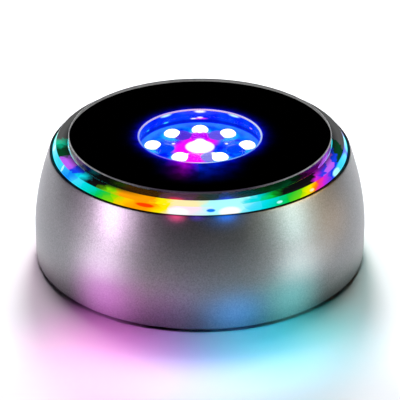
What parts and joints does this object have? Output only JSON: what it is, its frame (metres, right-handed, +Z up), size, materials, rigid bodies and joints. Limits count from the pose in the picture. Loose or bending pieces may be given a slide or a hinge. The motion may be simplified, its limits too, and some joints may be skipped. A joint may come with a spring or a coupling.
{
  "type": "turntable display stand",
  "caption": "Low barrel-shaped display turntable with a clear lit rim, a black round top with a lit window, and a motor drive inside.",
  "frame": {"origin": "on the table, under the middle of the stand", "axes": "+Z up along the turning axis, -Y towards the front, controls in the back wall at +Y"},
  "size_m": [0.1, 0.1, 0.0395],
  "materials": {
    "silver_housing": "satin silver paint with a fine metallic grain, on ABS",
    "black_abs": "fine moulded texture",
    "dark_abs": "smooth moulded",
    "white_abs": "smooth moulded",
    "white_board": "white solder resist with lamps",
    "gear_nylon": "natural nylon",
    "clear_acrylic": "polished clear acrylic",
    "black_print": "opaque glossy black print",
    "reflector": "bright reflective plating",
    "circuit_board": "green solder resist",
    "steel": "plain",
    "brass": "stamped sheet",
    "cell_jacket": "shrink film, no marking",
    "lamp": "clear epoxy, lit",
    "rubber": "matt"
  },
  "bodies": {
    "base": {"housing_shell": "silver_housing", "bottom_cover": "black_abs", "rubber_foot_1": "rubber", "rubber_foot_2": "rubber", "rubber_foot_3": "rubber", "rubber_foot_4": "rubber", "base_screw_1": "steel", "base_screw_2": "steel", "base_screw_3": "steel", "base_screw_4": "steel", "chassis_screw_1": "steel", "chassis_screw_2": "steel", "chassis_screw_3": "steel", "chassis_screw_4": "steel", "battery_1": "cell_jacket", "battery_2": "cell_jacket", "battery_3": "cell_jacket", "battery_spring_1": "steel", "battery_spring_2": "steel", "battery_spring_3": "steel", "contact_plate_left": "brass", "contact_plate_right": "brass", "main_board": "circuit_board", "control_chip": "black_abs", "buffer_capacitor": "steel", "dc_jack": "black_abs", "switch_body": "dark_abs", "chassis_plate": "dark_abs", "gearbox_case": "white_abs", "motor_can": "steel", "led_tower": "reflector", "led_board": "circuit_board", "reflector_plate": "reflector", "well_led_1": "lamp", "well_led_2": "lamp", "well_led_3": "lamp", "well_led_4": "lamp", "well_led_5": "lamp", "well_led_6": "lamp", "well_led_7": "lamp", "well_led_8": "lamp", "rim_light_board": "white_board", "glide_washer": "white_abs"},
    "turntable": {"turntable_carrier": "black_abs", "clear_disc": "clear_acrylic", "clear_ring": "clear_acrylic", "black_print": "black_print", "ring_gear": "gear_nylon"},
    "pinion": {"drive_pinion": "gear_nylon"},
    "switch_slider": {"switch_knob": "black_abs"},
    "battery_lid": {"battery_door": "black_abs"}
  },
  "joints": [
    {"name": "turntable_spin", "type": "hinge", "parent": "base", "child": "turntable", "pos_m": [0, 0, 0.036], "axis": [0, 0, 1], "continuous": true},
    {"name": "pinion_spin", "type": "hinge", "parent": "base", "child": "pinion", "pos_m": [0, 0.03008, 0.028], "axis": [0, 0, 1], "continuous": true},
    {"name": "power_switch", "type": "slide", "parent": "base", "child": "switch_slider", "axis": [-0.848, 0.5299, 0], "range_m": [0, 0.004]},
    {"name": "battery_door", "type": "hinge", "parent": "base", "child": "battery_lid", "pos_m": [0, -0.00275, 0.0012], "axis": [1, 0, 0], "range_deg": [0, 90]}
  ],
  "couplings": [
    {"joint": "pinion_spin", "follows": "turntable_spin", "ratio": -4}
  ]
}
